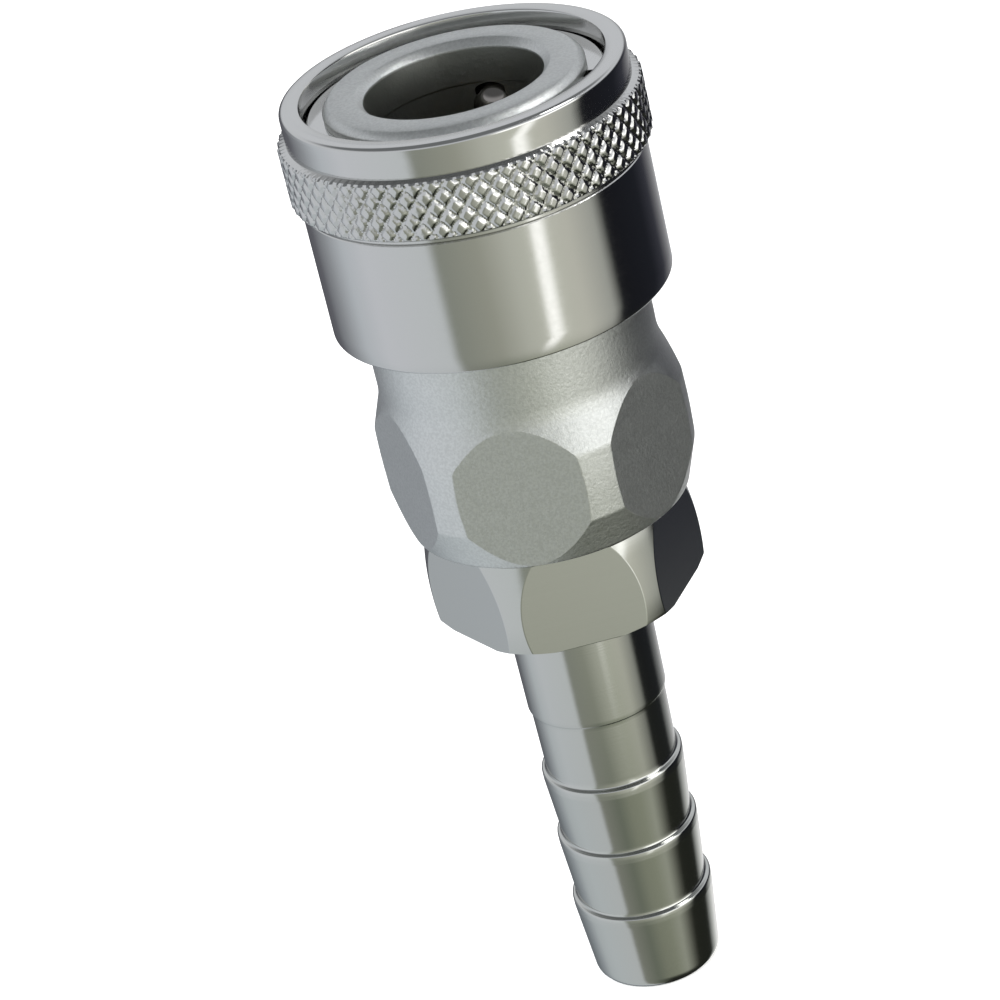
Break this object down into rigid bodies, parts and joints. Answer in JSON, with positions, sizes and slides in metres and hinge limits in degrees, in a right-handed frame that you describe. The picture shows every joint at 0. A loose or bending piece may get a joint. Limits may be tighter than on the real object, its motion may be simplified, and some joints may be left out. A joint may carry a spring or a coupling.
{
  "type": "pneumatic quick coupler socket",
  "caption": "Push-to-connect air line socket with a spring-loaded knurled sleeve, ball lock, shut-off valve, spanner flats and a hose barb.",
  "frame": {"origin": "centre of the hose barb's open end, on the coupler's axis", "axes": "+Z along the axis, from the barb's open end to the socket's mouth; -Y towards the side with the front spanner flat"},
  "size_m": [0.0274, 0.0274, 0.08],
  "materials": {
    "satin_nickel": "satin",
    "bright_nickel": "polished",
    "turned_nickel": "turned",
    "ball_steel": "polished",
    "spring_steel": "drawn wire",
    "nitrile_rubber": "matte",
    "valve_brass": "turned"
  },
  "bodies": {
    "body": {"socket_body": "satin_nickel", "stop_ring": "bright_nickel", "plug_seal": "nitrile_rubber", "valve_guide": "valve_brass", "hose_adapter": "turned_nickel", "adapter_seal": "nitrile_rubber"},
    "spring_follower": {"sleeve_spring": "spring_steel"},
    "sleeve": {"sleeve": "bright_nickel"},
    "valve": {"valve": "valve_brass", "valve_seal": "nitrile_rubber", "valve_spring": "spring_steel"},
    "lock_ball_1": {"lock_ball_1": "ball_steel"},
    "lock_ball_2": {"lock_ball_2": "ball_steel"},
    "lock_ball_3": {"lock_ball_3": "ball_steel"},
    "lock_ball_4": {"lock_ball_4": "ball_steel"}
  },
  "joints": [
    {"name": "sleeve_turn", "type": "hinge", "parent": "body", "child": "spring_follower", "pos_m": [0, 0, 0.071], "axis": [0, 0, 1], "continuous": true},
    {"name": "sleeve_pull", "type": "slide", "parent": "spring_follower", "child": "sleeve", "axis": [0, 0, -1], "range_m": [0, 0.004], "stiffness_N_per_m": 2000, "springref_m": -0.005, "deforming": ["sleeve_spring"]},
    {"name": "valve_push", "type": "slide", "parent": "body", "child": "valve", "axis": [0, 0, -1], "range_m": [0, 0.0035], "stiffness_N_per_m": 300, "springref_m": -0.004, "deforming": ["valve_spring"]},
    {"name": "lock_ball_1_lift", "type": "slide", "parent": "body", "child": "lock_ball_1", "axis": [0.3907, 0.9205, 0], "range_m": [0, 0.0008]},
    {"name": "lock_ball_2_lift", "type": "slide", "parent": "body", "child": "lock_ball_2", "axis": [-0.9205, 0.3907, 0], "range_m": [0, 0.0008]},
    {"name": "lock_ball_3_lift", "type": "slide", "parent": "body", "child": "lock_ball_3", "axis": [-0.3907, -0.9205, 0], "range_m": [0, 0.0008]},
    {"name": "lock_ball_4_lift", "type": "slide", "parent": "body", "child": "lock_ball_4", "axis": [0.9205, -0.3907, 0], "range_m": [0, 0.0008]}
  ],
  "couplings": [
    {"joint": "lock_ball_1_lift", "follows": "sleeve_pull", "ratio": 0.2},
    {"joint": "lock_ball_2_lift", "follows": "sleeve_pull", "ratio": 0.2},
    {"joint": "lock_ball_3_lift", "follows": "sleeve_pull", "ratio": 0.2},
    {"joint": "lock_ball_4_lift", "follows": "sleeve_pull", "ratio": 0.2}
  ]
}
